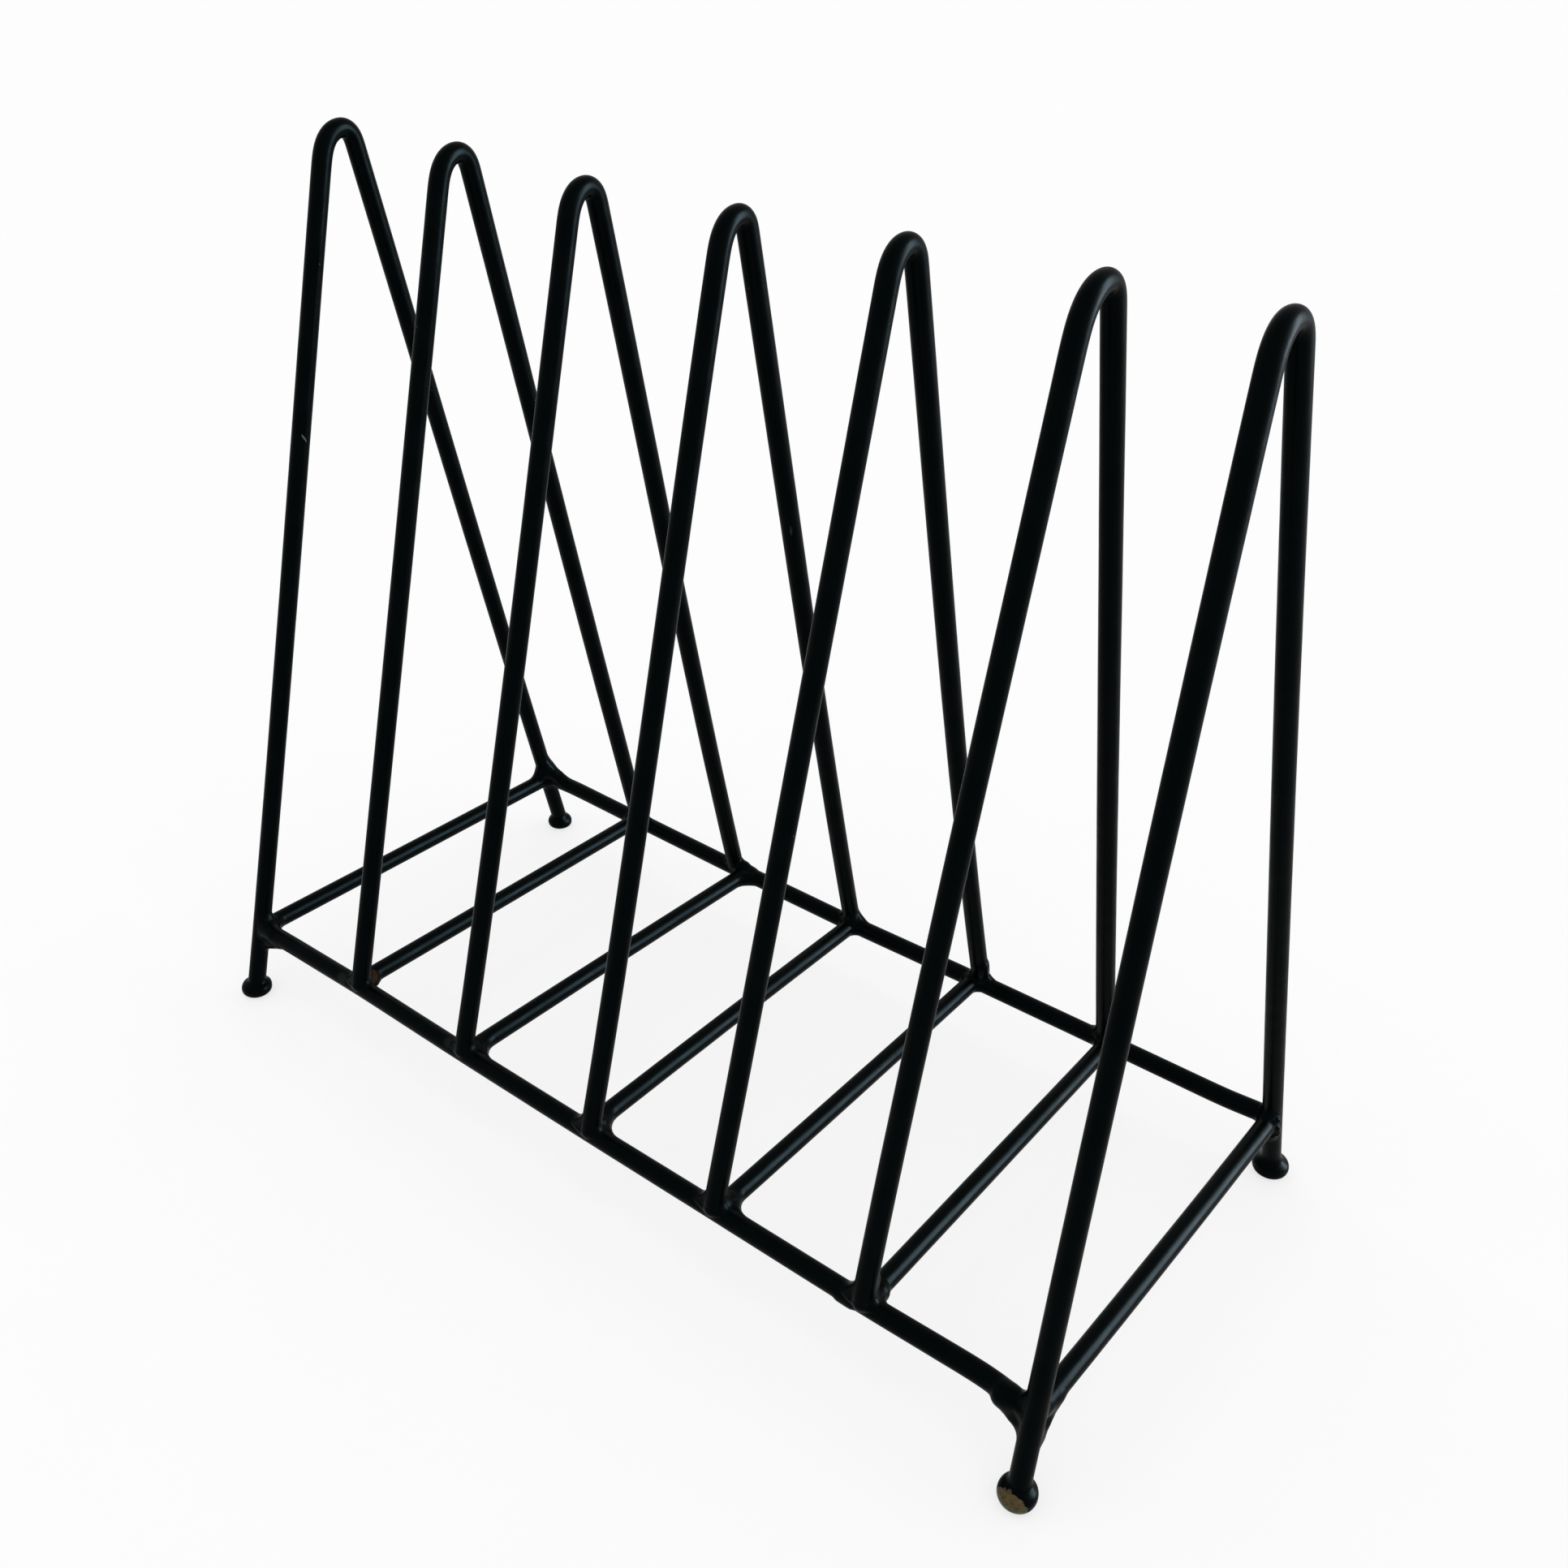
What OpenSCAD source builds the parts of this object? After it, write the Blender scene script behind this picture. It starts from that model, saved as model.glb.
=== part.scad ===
// Record storage stand: seven hairpin dividers of round steel rod stand on two long rails.
// A cross rod joins the rails under each divider, so records rest in the bays in between.
// The end dividers' legs run on below the rails into four round button feet.
// +X runs along the rack, +Y to its back, +Z up. The floor is z = 0, with the box centred on it.

/* [Rod] */
// Diameter of the hairpin rod with its enamel
hairpin_d = 7; // [6.4:0.1:7.4]
// Diameter of the rail rod with its enamel
rail_d = 6.8; // [5.8:0.1:7]
// Diameter of the cross rods with their enamel
cross_d = 6.8; // [5.8:0.1:7]

/* [Rack] */
// Distance from one divider to the next
pitch = 60; // [40:1:90]
// Distance between a divider's two legs, at the height of the rails
leg_spread = 158; // [120:1:200]
// Height of the rails' axes above the floor
rail_z = 29; // [22:1:45]
// How far a rod's square end stops short of the axis of the rod that it is welded to
end_gap = 1.6; // [1:0.1:2.2]

/* [Hairpins] */
// Height of each hairpin's round top above the floor, from left to right
top_z = [335, 333, 329, 328, 328, 327, 326]; // each [250:1:400]
// Radius of each hairpin's bend, to the middle of the rod
bend_r = [7, 7, 6.5, 6.5, 6.5, 9, 8]; // each [5:0.5:14]
// How far each front leg stands to the right of its even place on the rail
front_shift = [0, 3, 3, 7, 2, 0, 0]; // each [-10:1:10]
// How far each back leg stands to the right of its even place on the rail
back_shift = [3, 3, 0, 3, 5, 1, 6]; // each [-10:1:10]
// How far each hairpin's top leans to the right
top_shift = [1, 2, 2, 3, 3, 2, -10]; // each [-12:1:12]

/* [Base] */
// How far each cross rod's front end stands to the right of its even place
cross_front_shift = [1, -1, 2, 3, 2, 0, 0]; // each [-3:1:3]
// How far each cross rod's back end stands to the right of its even place
cross_back_shift = [4, 2, 7, 5, 4, 3, 6]; // each [-3:1:7]
// How far inside the legs' line the front rail runs, near its left and its right end
front_inset = [0.5, 2.5]; // each [-3:0.5:3]
// How far inside the legs' line the back rail runs, near its left and its right end
back_inset = [-1.5, 1.5]; // each [-3:0.5:3]
// Length of each rail's bent end, which leads in to the end divider's leg
rail_end = 15; // [10:1:25]

/* [Feet] */
// Diameter of a button foot
foot_d = 12.4; // [10:0.2:16]
// Diameter of the back right foot, which is the flattest
wide_foot_d = 14; // [10:0.2:16]
// Height of a button foot
foot_h = 7; // [5:0.5:9]

/* [Welds] */
// Radius of the weld's hollow between two rods
weld_r = 4.5; // [3:0.5:7]
// Radius of the weld's hollow at the four corners
corner_weld_r = 6; // [3:0.5:8]
// Width of a weld web between two rods
weld_w = 5.6; // [4:0.1:6]
// Diameter of the bead where the leg, the cross rod and the rail meet
bead_d = 7.9; // [7.4:0.1:9]
// How far that bead lies above the rail's axis, and as far inwards
bead_lift = 1.5; // [1:0.1:2]

/* [Hidden] */
NODES = [
    "divider_1", "divider_2", "divider_3", "divider_4", "divider_5", "divider_6", "divider_7",
    "cross_rod_1", "cross_rod_2", "cross_rod_3", "cross_rod_4", "cross_rod_5", "cross_rod_6", "cross_rod_7",
    "front_rail", "back_rail",
    "foot_front_left", "foot_back_left", "foot_front_right", "foot_back_right",
    "weld_front_1", "weld_front_2", "weld_front_3", "weld_front_4", "weld_front_5", "weld_front_6",
    "weld_front_7",
    "weld_back_1", "weld_back_2", "weld_back_3", "weld_back_4", "weld_back_5", "weld_back_6",
    "weld_back_7"
];
node = "all";
$fn = 48;

FRONT = 0;
BACK = 1;
LAST = 6;
black = [0.07, 0.07, 0.08];
half_spread = leg_spread / 2;
// A bend is this much thicker than its straight runs, and they reach this far into it
bend_swell = 0.06;
bend_lap = 0.5;
// A weld's hollow is this much larger than its radius, so that it bites into both rods
weld_bite = 0.25;
// A bead sits halfway from the leg to the cross rod. Where they stand side by side, each has its own
SHARED_BEAD = [0.5];
OWN_BEADS = [0.05, 1];

// Signs and tables that both sides of the rack share
side_sign = [-1, 1];
leg_shift = [front_shift, back_shift];
cross_shift = [cross_front_shift, cross_back_shift];
inset = [front_inset, back_inset];

function unit(v) = v / norm(v);
function even_x(i) = (i - LAST / 2) * pitch;
function is_end(i) = i == 0 || i == LAST;

// Where a leg crosses the height of the rails
function leg_base(side, i) = [even_x(i) + leg_shift[side][i], side_sign[side] * half_spread, rail_z];

// Height of the point where the two straight legs would meet, above the rails
function tip_h(i) =
    let (
        k = bend_r[i] / half_spread,
        crown = top_z[i] - rail_z - bend_r[i] - hairpin_d / 2
    )
    (crown + k * sqrt(pow(crown, 2) + (1 - pow(k, 2)) * pow(half_spread, 2))) / (1 - pow(k, 2));
function tip(i) = [even_x(i) + top_shift[i], 0, rail_z + tip_h(i)];

// Unit vector down a leg, and the point where that leg reaches a given height
function leg_down(side, i) = unit(leg_base(side, i) - tip(i));
function leg_at(side, i, z) = leg_base(side, i) + leg_down(side, i) * (z - rail_z) / leg_down(side, i)[2];
function half_angle(i) = acos(leg_down(FRONT, i) * leg_down(BACK, i)) / 2;

// Lower end of a leg: in the middle of its foot on an end divider, and on the rail elsewhere
function leg_end(side, i) = leg_at(side, i, is_end(i) ? foot_h / 2 : rail_z + end_gap);

// The rails' straight runs, and their bent ends, which meet the end dividers' legs
function rail_bend(side, k) =
    let (base = leg_base(side, k * LAST), inward = 1 - 2 * k)
    [base[0] + inward * rail_end, side_sign[side] * (half_spread - inset[side][k]), rail_z];
function rail_tip(side, k) =
    leg_base(side, k * LAST)
        + unit(rail_bend(side, k) - leg_base(side, k * LAST)) * end_gap;
function rail_path(side) =
    [rail_tip(side, 0), rail_bend(side, 0), rail_bend(side, 1), rail_tip(side, 1)];
function rail_y(side, x) = lookup(x, [for (p = rail_path(side)) [p[0], p[1]]]);

// The end of a cross rod, and the place beside it on the rail's axis
function cross_foot(side, i) =
    let (x = even_x(i) + cross_shift[side][i])
    [x, rail_y(side, x), rail_z];
function cross_end(side, i) =
    cross_foot(side, i) + unit(cross_foot(1 - side, i) - cross_foot(side, i)) * end_gap;

// A straight round rod from one point to another
module rod(p, q, d) {
    along = q - p;
    translate(p)
        rotate([0, acos(along[2] / norm(along)), atan2(along[1], along[0])])
            cylinder(d = d, h = norm(along));
}

// Turns the X and Y axes on to two directions, with Z square to both
module facing(origin, x_dir, near_y) {
    z_dir = unit(cross(x_dir, near_y));
    y_dir = cross(z_dir, x_dir);
    multmatrix([
        [x_dir[0], y_dir[0], z_dir[0], origin[0]],
        [x_dir[1], y_dir[1], z_dir[1], origin[1]],
        [x_dir[2], y_dir[2], z_dir[2], origin[2]]
    ])
        children();
}

// One leg of a hairpin, from its lower end to where the bend starts
module leg(side, i) {
    down = leg_down(side, i);
    bend_start = tip(i) + down * (bend_r[i] / tan(half_angle(i)) - bend_lap);
    rod(bend_start, leg_end(side, i), hairpin_d);
}

// The round bend that joins a hairpin's legs
module bend(i) {
    front = leg_down(FRONT, i);
    back = leg_down(BACK, i);
    inward = unit(front + back);
    centre = tip(i) + inward * bend_r[i] / sin(half_angle(i));
    facing(centre, unit(back - front), -inward)
        rotate([0, 0, half_angle(i)])
            rotate_extrude(angle = 180 - 2 * half_angle(i))
                translate([bend_r[i], 0])
                    circle(d = hairpin_d + bend_swell);
}

module divider(i) {
    color(black)
        difference() {
            union() {
                leg(FRONT, i);
                leg(BACK, i);
                bend(i);
            }
            if (!is_end(i)) {
                rail_rods(FRONT);
                rail_rods(BACK);
            }
        }
}

// A rail's three straight runs with a ball at each bend between them. Each ball's poles lie inside the runs
module rail_rods(side) {
    path = rail_path(side);
    for (k = [0 : len(path) - 2])
        rod(path[k], path[k + 1], rail_d);
    for (k = [1 : len(path) - 2])
        translate(path[k])
            rotate([0, 90, 0])
                sphere(d = rail_d + bend_swell);
}

module rail(side) {
    color(black)
        difference() {
            rail_rods(side);
            leg(side, 0);
            leg(side, LAST);
        }
}

module cross_rod(i) {
    color(black)
        difference() {
            rod(cross_end(FRONT, i), cross_end(BACK, i), cross_d);
            rail_rods(FRONT);
            rail_rods(BACK);
            leg(FRONT, i);
            leg(BACK, i);
        }
}

// A button with a round rim, pushed on to the rod's end
module foot(side, i) {
    wide = side == BACK && i == LAST;
    rim = (wide ? wide_foot_d : foot_d) / 2 - foot_h / 2;
    color(black)
        difference() {
            translate(leg_end(side, i))
                rotate_extrude()
                    union() {
                        translate([rim, 0])
                            intersection() {
                                circle(d = foot_h);
                                translate([0, -foot_h])
                                    square([foot_h, 2 * foot_h]);
                            }
                        translate([0, -foot_h / 2])
                            square([rim, foot_h]);
                    }
            leg(side, i);
        }
}

// The metal that fills the corner between two rods, with a round hollow
module web(corner, a, b, hollow) {
    half_angle = acos(a * b) / 2;
    reach = rail_d / 2 + hollow;
    run = reach / tan(half_angle);
    facing(corner, a, b)
        linear_extrude(weld_w, center = true)
            difference() {
                polygon([
                    [0, 0],
                    [run, 0],
                    [run, reach],
                    [run * cos(2 * half_angle), run * sin(2 * half_angle)]
                ]);
                translate([run, reach])
                    circle(r = hollow + weld_bite);
            }
}

// The webs around a joint, with the beads where the leg and the cross rod stand on the rail
module weld(side, i) {
    leg_spot = leg_base(side, i);
    leg_foot = [leg_spot[0], rail_y(side, leg_spot[0]), rail_z];
    cross_spot = cross_foot(side, i);
    up = -leg_down(side, i);
    inward = [0, -side_sign[side], 0];
    hollow = is_end(i) ? corner_weld_r : weld_r;
    across = cross_spot - leg_foot;
    beads = norm(across) > cross_d ? OWN_BEADS : SHARED_BEAD;
    color(black)
        difference() {
            union() {
                for (along = [-1, 1])
                    if (i + along >= 0 && i + along <= LAST) {
                        web(leg_foot, [along, 0, 0], up, hollow);
                        web(cross_spot, [along, 0, 0], inward, hollow);
                        if (is_end(i))
                            web(leg_foot, [along, 0, 0], -up, hollow);
                    }
                web(cross_spot, inward, up, hollow);
                if (is_end(i))
                    web(leg_foot, inward, -up, hollow);
                for (share = beads)
                    translate(leg_foot + across * share + (inward + [0, 0, 1]) * bead_lift)
                        sphere(d = bead_d);
            }
            rail_rods(side);
            leg(side, i);
            rod(cross_end(FRONT, i), cross_end(BACK, i), cross_d);
        }
}

// Brings the middle of the whole rack's box on to the Z axis
module centred() {
    feet_x = [
        leg_end(FRONT, 0)[0] - foot_d / 2,
        leg_end(BACK, LAST)[0] + wide_foot_d / 2
    ];
    feet_y = [
        leg_end(FRONT, 0)[1] - foot_d / 2,
        leg_end(BACK, LAST)[1] + wide_foot_d / 2
    ];
    translate([-(feet_x[0] + feet_x[1]) / 2, -(feet_y[0] + feet_y[1]) / 2, 0])
        children();
}

// Whether a piece is wanted
function shown(name) = node == "all" || node == name;

centred() {
    for (i = [0 : LAST]) {
        if (shown(str("divider_", i + 1))) divider(i);
        if (shown(str("cross_rod_", i + 1))) cross_rod(i);
        if (shown(str("weld_front_", i + 1))) weld(FRONT, i);
        if (shown(str("weld_back_", i + 1))) weld(BACK, i);
    }
    if (shown("front_rail")) rail(FRONT);
    if (shown("back_rail")) rail(BACK);
    if (shown("foot_front_left")) foot(FRONT, 0);
    if (shown("foot_back_left")) foot(BACK, 0);
    if (shown("foot_front_right")) foot(FRONT, LAST);
    if (shown("foot_back_right")) foot(BACK, LAST);
}
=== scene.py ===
import math
from collections import namedtuple

import bpy
import numpy as np
from mathutils import Matrix


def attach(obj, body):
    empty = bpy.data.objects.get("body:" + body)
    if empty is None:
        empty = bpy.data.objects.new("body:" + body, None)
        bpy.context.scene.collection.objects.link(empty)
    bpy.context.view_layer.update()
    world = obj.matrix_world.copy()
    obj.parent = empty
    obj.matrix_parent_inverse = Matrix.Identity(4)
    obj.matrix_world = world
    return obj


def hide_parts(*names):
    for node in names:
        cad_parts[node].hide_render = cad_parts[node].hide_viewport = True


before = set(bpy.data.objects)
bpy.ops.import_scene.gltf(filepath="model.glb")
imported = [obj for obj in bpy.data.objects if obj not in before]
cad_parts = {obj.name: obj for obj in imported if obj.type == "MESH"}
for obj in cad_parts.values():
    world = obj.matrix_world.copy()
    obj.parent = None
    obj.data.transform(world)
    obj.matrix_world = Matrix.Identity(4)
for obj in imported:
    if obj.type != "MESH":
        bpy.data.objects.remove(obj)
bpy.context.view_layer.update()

# ---------------------------------------------------------------- dimensions

# All lengths are in millimetres, as the solids have them, and turn to metres where a mesh is made.
MM = 0.001
FRONT, BACK = 0, 1
SIDES = ((FRONT, "front"), (BACK, "back"))
SIDE_SIGN = (-1, 1)
LAST = 6
PITCH = 60.0
HALF_SPREAD = 79.0
RAIL_Z = 29.0
HAIRPIN_R = 3.5
RAIL_R = 3.4
CROSS_R = 3.4
RAIL_END = 15.0
FOOT_MIDDLE = 3.5
# What puts the middle of the solids' box over the origin.
CENTRING = np.array([-4.001, -0.462, 0.0])

# For each hairpin from left to right: how high its crown is, and the radius of its bend.
TOP_Z = (335, 333, 329, 328, 328, 327, 326)
BEND_R = (7, 7, 6.5, 6.5, 6.5, 9, 8)
# Shifts to the right of the even pitch, front and back: of the legs at the rails, of the top, and of the
# cross rods' ends.
LEG_SHIFT = ((0, 3, 3, 7, 2, 0, 0), (3, 3, 0, 3, 5, 1, 6))
TOP_SHIFT = (1, 2, 2, 3, 3, 2, -10)
CROSS_SHIFT = ((1, -1, 2, 3, 2, 0, 0), (4, 2, 7, 5, 4, 3, 6))
# How far each rail runs inside the line of its own two ends, next to its left and its right end.
INSET = ((0.5, 2.5), (-1.5, 1.5))

# Small hand-made bends along the rack, which the solids leave out. For each hairpin: the shift of its top,
# then for its front and its back leg the shift of the foot, the bow at half height, and the S bend.
HAIRPIN_BENDS = (
    (-0.1, (0.2, 0.55, -0.15), (0.6, -0.75, 0.2)),
    (0.05, (0.0, 0.65, -0.05), (0.65, -1.0, 0.05)),
    (-0.35, (-1.0, 1.55, -0.3), (1.05, -1.1, 0.4)),
    (0.35, (-0.7, 0.8, -0.45), (0.8, -0.95, 0.25)),
    (-0.1, (-0.4, 0.4, 0.0), (1.6, -1.6, 0.4)),
    (0.15, (0.65, -0.65, 0.3), (-0.05, 0.0, 0.15)),
    (0.5, (0.45, -0.45, -0.05), (0.35, -0.3, -0.05)),
)
# How many times longer the front half of each hairpin's bend is than its back half.
FRONT_BEND = (1.8, 1.6, 1.6, 2.0, 1.6, 2.1, 1.5)
# The rails at the seven dividers: how far to the back and how far up they stray.
RAIL_BACKWARD = (
    (-0.1, 0.5, -0.2, -0.3, -0.35, -0.4, 0.3),
    (0.3, -0.45, -0.75, -1.0, -0.3, -0.1, 0.0),
)
RAIL_UPWARD = (
    (0.05, 0.0, -0.2, -0.45, -0.35, -0.45, 0.15),
    (0.4, -0.25, -0.95, -1.0, -0.4, -0.15, -0.1),
)
# The cross rods: the shift of the front end and of the back end, and the bow between them.
CROSS_BENDS = (
    (-0.1, -0.05, 0.1), (0.35, -0.25, 0.1), (0.05, 0.1, -0.25), (0.3, -0.2, -0.25),
    (0.1, 0.1, 0.2), (0.35, 0.05, 0.0), (0.2, 0.35, 0.35),
)

# How finely the skins are cut: around a rod, along its straight runs in mm, and in points along a hairpin's
# bend, a rail and a cross rod.
AROUND = 40
ROD_STEP = 1.25
BEND_POINTS, RAIL_POINTS, CROSS_POINTS = 61, 260, 120
JOINT_ROWS, JOINT_COLUMNS = 130, 168
# A rod starts this far from the axis of the rod that it is welded to, inside the joint's skin.
START = 2.8
# A joint's skin lies this far under the rods, so that only its fillets show.
TUCK = 0.06
# A rail's table runs on this far past its end dividers, and is averaged over this far to either side.
RAIL_BEYOND = 20
RAIL_EASING = 6


def unit(v):
    """A vector over its own length."""
    return np.asarray(v, float) / np.linalg.norm(v)


def eased(x, low, high):
    """0 below low, 1 above high, and in between three times the square of the share less twice its cube."""
    t = np.clip((x - low) / (high - low), 0, 1)
    return t * t * (3 - 2 * t)


def even_x(i):
    """A divider's place along the rack at the even pitch."""
    return (i - LAST / 2) * PITCH


def leg_base(side, i):
    """Where a straight leg would cross the height of the rails."""
    return np.array([even_x(i) + LEG_SHIFT[side][i], SIDE_SIGN[side] * HALF_SPREAD, RAIL_Z]) + CENTRING


def tip(i):
    """Where the straight runs of a hairpin's two legs would meet, if a round bend between them has its radius
    and reaches its crown."""
    k = BEND_R[i] / HALF_SPREAD
    crown = TOP_Z[i] - RAIL_Z - BEND_R[i] - HAIRPIN_R
    rise = (crown + k * math.sqrt(crown**2 + (1 - k**2) * HALF_SPREAD**2)) / (1 - k**2)
    return np.array([even_x(i) + TOP_SHIFT[i], 0, RAIL_Z + rise]) + CENTRING


def leg_down(side, i):
    """The way down a straight leg."""
    return unit(leg_base(side, i) - tip(i))


def leg_stray(side, i, share):
    """How far a leg strays to the right of its straight line, at a share of the way from the tip to the rail:
    an even change from the top's shift to the foot's, a parabola as high as the bow, and a cubic about as
    high as the S bend."""
    top, *legs = HAIRPIN_BENDS[i]
    foot, bow, bend = legs[side]
    sag = share * (1 - share)
    return top * (1 - share) + foot * share + 4 * bow * sag + 10 * bend * sag * (1 - 2 * share)


def leg_at(side, i, z):
    """The middle of a leg at height z: a point of its straight line, and its stray."""
    top, base = tip(i), leg_base(side, i)
    share = (top[2] - z) / (top[2] - RAIL_Z)
    return top + (base - top) * share + [leg_stray(side, i, share), 0, 0]


def rail_table(side):
    """The rail's axis for each mm along the rack: straight between its bends, plus its strays, and each point
    twice made the average of its neighbours."""
    first, last = leg_base(side, 0), leg_base(side, LAST)
    corners = [
        (first[0], HALF_SPREAD),
        (first[0] + RAIL_END, HALF_SPREAD - INSET[side][0]),
        (last[0] - RAIL_END, HALF_SPREAD - INSET[side][1]),
        (last[0], HALF_SPREAD),
    ]
    joints = [leg_base(side, i)[0] for i in range(LAST + 1)]
    x = np.arange(first[0] - RAIL_BEYOND, last[0] + RAIL_BEYOND)
    backward = np.interp(x, joints, RAIL_BACKWARD[side])
    y = SIDE_SIGN[side] * np.interp(x, *zip(*corners)) + CENTRING[1] + backward
    z = RAIL_Z + np.interp(x, joints, RAIL_UPWARD[side])
    kernel = np.ones(2 * RAIL_EASING + 1) / (2 * RAIL_EASING + 1)
    for _ in range(2):
        y, z = (np.convolve(np.pad(v, RAIL_EASING, "edge"), kernel, "valid") for v in (y, z))
    return x, y, z


RAIL_TABLES = [rail_table(side) for side in (FRONT, BACK)]


def rail_point(side, x):
    """The rail's axis at x, in line between the points of its table."""
    table_x, table_y, table_z = RAIL_TABLES[side]
    return np.stack([x, np.interp(x, table_x, table_y), np.interp(x, table_x, table_z)], -1)


def leg_x(side, i):
    """Where a leg crosses the height of the rails, along the rack."""
    return leg_at(side, i, RAIL_Z)[0]


def rail_line(side):
    """Points along a rail's axis, from one end divider's leg to the other's."""
    return rail_point(side, np.linspace(leg_x(side, 0) + START, leg_x(side, LAST) - START, RAIL_POINTS))


def cross_foot(side, i):
    """Where a cross rod's axis meets a rail's."""
    return rail_point(side, even_x(i) + CROSS_SHIFT[side][i] + CROSS_BENDS[i][side] + CENTRING[0])


def cross_line(i, start):
    """Points along a cross rod's axis, from start mm off one rail's axis to start mm off the other's: a
    straight line plus a parabola as high as the bow."""
    ends = [cross_foot(side, i) for side in (FRONT, BACK)]
    length = np.linalg.norm(ends[1] - ends[0])
    share = np.linspace(start / length, 1 - start / length, CROSS_POINTS)[:, None]
    bow = np.array([4 * CROSS_BENDS[i][2], 0, 0]) * share * (1 - share)
    return ends[0] + (ends[1] - ends[0]) * share + bow


# ---------------------------------------------------------------- rods

# Unevenness is the mean of this many sines, made larger by this gain. Each sine's pitch is the given one over
# a number in this range.
WAVES, WAVE_GAIN = 7, 1.6
WAVE_SPREAD = (0.7, 1.5)
# A rod's end is rounded over this far, with rings at these shares of it.
ROUNDING = 0.5
ROUNDING_SHARES = np.array([[0.05], [0.2], [0.45]])
# The sags and the ripples of the paint on a rod: how deep, how the pattern is scaled across and along it, the
# pitch, and how far their seed is from the rod's own.
ROD_PAINT = ((0.03, (0.6, 0.6, 0.2), 9, 0), (0.02, (1, 1, 0.3), 4, 50))
# The enamel's pattern on one rod lies this far from the next rod's.
GRAIN_APART = 1000


def skin(name, rings, poles, grain, node, finish):
    """A closed skin over rings of points: neighbours joined by quads, and each end drawn together in one
    pole. grain is where each point lies for the enamel's pattern, rings first and then the two poles."""
    count, around = rings.shape[:2]
    points = np.concatenate([rings.reshape(-1, 3), poles]) * MM
    ring = np.arange(around)
    following = np.roll(ring, -1)
    start = np.arange(count - 1)[:, None] * around
    above = start + around
    quads = np.stack([start + ring, start + following, above + following, above + ring], -1)
    first, last = count * around, count * around + 1
    base = (count - 1) * around
    fans = [
        np.stack([np.full(around, first), following, ring], -1),
        np.stack([np.full(around, last), base + ring, base + following], -1),
    ]
    mesh = bpy.data.meshes.new(name)
    mesh.from_pydata(points.tolist(), [], quads.reshape(-1, 4).tolist() + np.concatenate(fans).tolist())
    mesh.shade_smooth()
    layer = mesh.attributes.new("grain_mm", "FLOAT_VECTOR", "POINT")
    layer.data.foreach_set("vector", np.asarray(grain, np.float32).ravel())
    piece = bpy.data.objects.new(name, mesh)
    bpy.context.scene.collection.objects.link(piece)
    piece.data.materials.append(finish)
    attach(piece, "root")
    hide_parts(node)
    return piece


def waver(points, pitch, seed):
    """Smooth unevenness from -1 to 1: a sum of sines in seeded directions, each about pitch mm from crest to
    crest."""
    rng = np.random.default_rng(seed)
    total = np.zeros(points.shape[:-1])
    for _ in range(WAVES):
        direction = unit(rng.normal(size=3)) * rng.uniform(*WAVE_SPREAD)
        total += np.sin(points @ direction * (2 * math.pi / pitch) + rng.uniform(0, 2 * math.pi))
    return np.clip(total / WAVES * WAVE_GAIN, -1, 1)


def rod_skin(name, path, across, radius, seed, node, finish):
    """A painted rod: circles square to its path, of the rod's radius less the paint's unevenness. At its two
    ends the radius falls off along a quarter circle."""
    close = ROUNDING_SHARES * ROUNDING
    first_way, last_way = unit(path[1] - path[0]), unit(path[-1] - path[-2])
    path = np.concatenate(
        [path[:1], path[:1] + first_way * close, path[1:-1], path[-1:] - last_way * close[::-1], path[-1:]]
    )
    length = np.concatenate([[0], np.cumsum(np.linalg.norm(np.diff(path, axis=0), axis=1))])
    tangent = np.gradient(path, length, axis=0)
    tangent /= np.linalg.norm(tangent, axis=1)[:, None]
    first = across - tangent * (tangent @ across)[:, None]
    first /= np.linalg.norm(first, axis=1)[:, None]
    second = np.cross(tangent, first)
    angle = np.linspace(0, 2 * math.pi, AROUND, endpoint=False)
    placed = radius * np.cos(angle), radius * np.sin(angle), length[:, None]
    grain = np.stack([np.broadcast_to(part, (len(path), AROUND)) for part in placed], -1)
    grain = grain + [0, 0, GRAIN_APART * seed]
    thick = radius
    for depth, scale, pitch, more in ROD_PAINT:
        thick = thick - depth * (1 + waver(grain * scale, pitch, seed + more)) / 2
    from_end = np.minimum(np.minimum(length, length[-1] - length) / ROUNDING, 1)
    thick = thick - (ROUNDING * (1 - np.sqrt(1 - (1 - from_end) ** 2)))[:, None]
    out = first[:, None] * np.cos(angle)[None, :, None] + second[:, None] * np.sin(angle)[None, :, None]
    rings = path[:, None] + out * thick[..., None]
    poles = np.stack([path[0], path[-1]])
    pole_grain = np.array([[0, 0, GRAIN_APART * seed], [0, 0, GRAIN_APART * seed + length[-1]]])
    return skin(name, rings, poles, np.concatenate([grain.reshape(-1, 3), pole_grain]), node, finish)


def run(p, q):
    """Points along a straight run, about ROD_STEP apart, without its last point."""
    count = max(2, round(np.linalg.norm(q - p) / ROD_STEP))
    return p + (q - p) * np.linspace(0, 1, count, endpoint=False)[:, None]


def foot_z(side, i):
    """How far down a leg's rod goes: into the button on an end divider, and into the joint's skin on the
    others."""
    return FOOT_MIDDLE if i in (0, LAST) else rail_point(side, leg_x(side, i))[2] + START


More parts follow.
